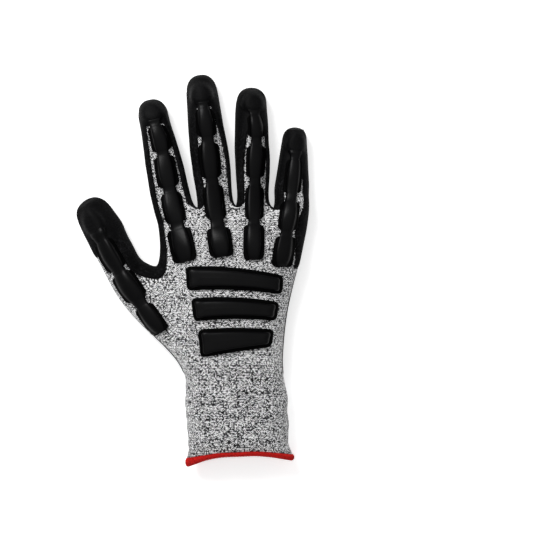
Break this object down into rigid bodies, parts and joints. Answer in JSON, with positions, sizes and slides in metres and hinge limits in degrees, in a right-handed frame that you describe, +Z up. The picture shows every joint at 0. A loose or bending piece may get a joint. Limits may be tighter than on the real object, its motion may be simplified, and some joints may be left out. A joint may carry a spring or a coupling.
{
  "type": "impact work glove",
  "caption": "Knitted cut-resistant right-hand work glove with a dipped palm, moulded impact guards on the fingers and back, and an overlocked cuff.",
  "frame": {"origin": "on the table under the middle of the palm, on the coating's flat underside", "axes": "+Y along the middle finger and hand towards the fingertips, +Z up out of the back of the hand, +X towards the little finger"},
  "size_m": [0.1523, 0.2537, 0.0304],
  "materials": {
    "knit": "matte marled knit",
    "coating": "matte sandy dip",
    "guards": "satin moulded rubber",
    "edge_thread": "matte overlock thread"
  },
  "bodies": {
    "root": {"knit_liner": "knit", "palm_coating": "coating", "guard_thumb": "guards", "guard_index": "guards", "guard_middle": "guards", "guard_ring": "guards", "guard_little": "guards", "bar_front": "guards", "bar_middle": "guards", "bar_rear": "guards", "cuff_edge": "edge_thread"}
  },
  "joints": []
}
